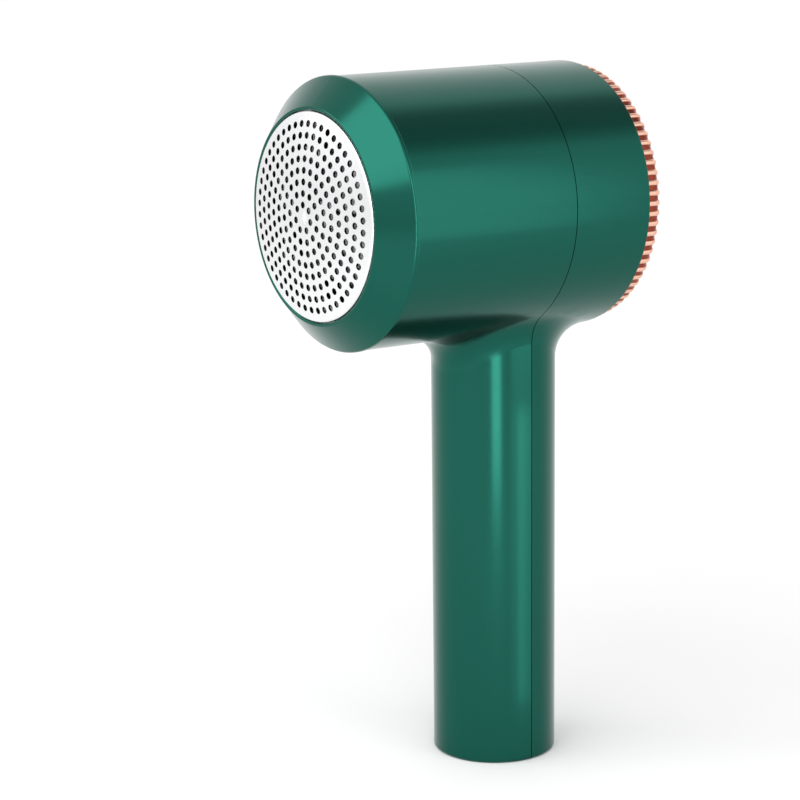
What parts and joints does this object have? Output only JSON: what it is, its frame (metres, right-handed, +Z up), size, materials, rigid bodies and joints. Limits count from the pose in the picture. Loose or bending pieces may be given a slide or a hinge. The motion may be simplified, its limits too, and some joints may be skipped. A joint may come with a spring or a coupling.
{
  "type": "fabric shaver",
  "caption": "Cordless fabric shaver shaped like a small hair dryer, with a domed perforated foil, a spinning blade wheel, a pull-out lint bin and a round standing handle.",
  "frame": {"origin": "centre of the flat base of the handle, on the handle's axis", "axes": "+Z up the handle, -Y the way the foil faces, +X to the right seen from the foil's side"},
  "size_m": [0.0608, 0.077, 0.1604],
  "materials": {
    "shell": "metallic green paint, satin gloss",
    "rose_gold": "vacuum-plated rose gold",
    "foil_steel": "polished",
    "blade_steel": "ground",
    "steel": "plated",
    "motor_steel": "zinc plated",
    "laminations": "stacked sheet",
    "magnet": "ferrite",
    "brass": "plain",
    "white_plastic": "satin",
    "dark_plastic": "moulded",
    "black_plastic": "moulded",
    "filter_mesh": "moulded mesh",
    "cell_wrap": "shrink-wrapped cell",
    "foam": "foam tape",
    "board": "solder mask",
    "light_pipe": "translucent",
    "led": "moulded",
    "wire_red": "insulated",
    "wire_black": "insulated",
    "plug_rubber": "moulded"
  },
  "bodies": {
    "housing": {"battery_cell": "cell_wrap", "battery_pads": "foam", "battery_tabs": "steel", "circuit_board": "board", "front_shell": "shell", "led_chip": "led", "light_pipe": "light_pipe", "motor_can": "motor_steel", "motor_end_cap": "black_plastic", "motor_magnets": "magnet", "motor_mount": "dark_plastic", "motor_screws": "steel", "motor_terminals": "brass", "motor_wire_black": "wire_black", "motor_wire_red": "wire_red", "rear_shell": "shell", "screw_plugs": "plug_rubber", "shell_screws": "steel", "tact_switch": "black_plastic", "usb_shell": "steel", "usb_tongue": "black_plastic"},
    "foil_head": {"bezel_ring": "shell", "foil": "foil_steel", "foil_clamp": "black_plastic"},
    "rotor": {"motor_shaft": "steel", "armature": "laminations"},
    "cutter": {"cutter_disc": "white_plastic", "cutter_bush": "brass", "blade_1": "blade_steel", "blade_2": "blade_steel", "blade_3": "blade_steel", "blade_4": "blade_steel", "blade_5": "blade_steel", "blade_6": "blade_steel"},
    "lint_bin": {"lint_cup": "dark_plastic", "lint_filter": "filter_mesh", "ribbed_ring": "rose_gold", "rear_grille": "rose_gold"},
    "button": {"power_button": "rose_gold", "switch_plunger": "black_plastic"}
  },
  "joints": [
    {"name": "foil_head_pull", "type": "slide", "parent": "housing", "child": "foil_head", "axis": [0, -1, 0], "range_m": [0, 0.05]},
    {"name": "rotor_spin", "type": "hinge", "parent": "housing", "child": "rotor", "pos_m": [0, -0.045, 0.13], "axis": [0, -1, 0], "continuous": true},
    {"name": "cutter_pull", "type": "slide", "parent": "rotor", "child": "cutter", "axis": [0, -1, 0], "range_m": [0, 0.02]},
    {"name": "lint_bin_pull", "type": "slide", "parent": "housing", "child": "lint_bin", "axis": [0, 1, 0], "range_m": [0, 0.035]},
    {"name": "button_press", "type": "slide", "parent": "housing", "child": "button", "axis": [0, -1, 0], "range_m": [0, 0.0006], "stiffness_N_per_m": 600, "springref_m": -0.0005}
  ],
  "couplings": [
    {"joint": "cutter_pull", "follows": "foil_head_pull", "ratio": 0.4}
  ]
}
